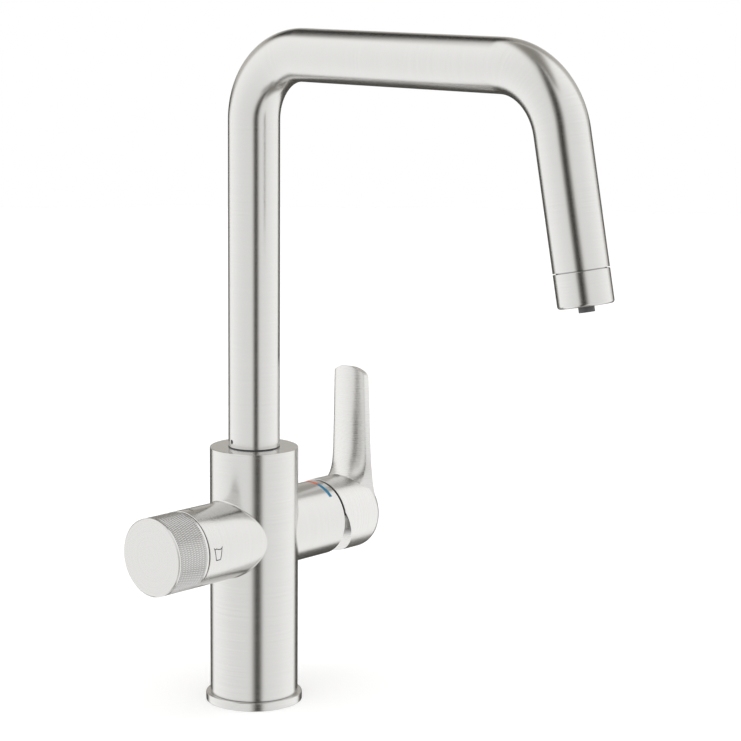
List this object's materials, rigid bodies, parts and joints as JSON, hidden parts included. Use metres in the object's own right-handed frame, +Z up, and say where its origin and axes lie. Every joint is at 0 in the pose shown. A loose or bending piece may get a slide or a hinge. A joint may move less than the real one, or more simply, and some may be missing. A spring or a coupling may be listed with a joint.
{
  "type": "filter kitchen mixer tap",
  "caption": "Kitchen mixer tap with a swivelling spout, a side lever for hot and cold water and a knurled side knob for filtered water.",
  "frame": {"origin": "centre of the base ring's underside, where the tap stands on the worktop", "axes": "+Z up along the column, +X towards the mixer lever, -Y towards the user, where the spout points"},
  "size_m": [0.1617, 0.2625, 0.3712],
  "materials": {
    "brushed_steel": "fine brushed",
    "brass": "machined",
    "rubber": "matt",
    "ceramic": "lapped",
    "cartridge_plastic": "moulded",
    "dark_plastic": "moulded",
    "grey_plastic": "moulded",
    "hose_plastic": "extruded",
    "screw_steel": "turned"
  },
  "bodies": {
    "body": {"column_body": "brushed_steel", "base_ring": "brushed_steel", "base_seal": "rubber", "spout_nipple": "brass", "nipple_o_rings": "rubber", "spout_glide_ring": "cartridge_plastic", "filter_riser": "brass", "filter_valve_body": "brass", "filter_valve_seal": "rubber", "fixed_filter_disc": "ceramic", "cartridge_housing": "cartridge_plastic", "cartridge_port_seals": "rubber", "fixed_mixer_disc": "ceramic", "cartridge_nut": "brass", "cartridge_cap": "brushed_steel"},
    "spout": {"spout_tube": "brushed_steel", "spout_sleeve": "brass", "spout_lock_screw": "screw_steel", "inner_hose": "hose_plastic", "outlet_head": "brushed_steel", "head_seal": "rubber", "aerator_insert": "grey_plastic", "filter_nozzle": "dark_plastic"},
    "driver": {"cartridge_driver": "cartridge_plastic", "pivot_pin": "screw_steel"},
    "disc": {"moving_mixer_disc": "ceramic", "disc_carrier": "grey_plastic"},
    "lever": {"lever_stem": "brass", "lever_handle": "brushed_steel", "lever_grub_screw": "screw_steel"},
    "knob": {"filter_knob": "brushed_steel", "knob_insert": "cartridge_plastic", "filter_spindle": "brass", "moving_filter_disc": "ceramic"}
  },
  "joints": [
    {"name": "spout_swivel", "type": "hinge", "parent": "body", "child": "spout", "pos_m": [0, 0, 0.143], "axis": [0, 0, 1], "range_deg": [-70, 70]},
    {"name": "lever_temperature", "type": "hinge", "parent": "body", "child": "driver", "pos_m": [0.04, 0, 0.0944], "axis": [1, 0, 0], "range_deg": [-50, 50]},
    {"name": "lever_flow", "type": "hinge", "parent": "driver", "child": "lever", "pos_m": [0.04, 0, 0.0944], "axis": [0, 1, 0], "range_deg": [0, 20]},
    {"name": "disc_slide", "type": "slide", "parent": "driver", "child": "disc", "axis": [0, 0, 1], "range_m": [0, 0.0039]},
    {"name": "filter_knob_turn", "type": "hinge", "parent": "body", "child": "knob", "pos_m": [-0.06, 0, 0.0944], "axis": [1, 0, 0], "range_deg": [0, 90]}
  ],
  "couplings": [
    {"joint": "disc_slide", "follows": "lever_flow", "m_per_rad": 0.011}
  ]
}
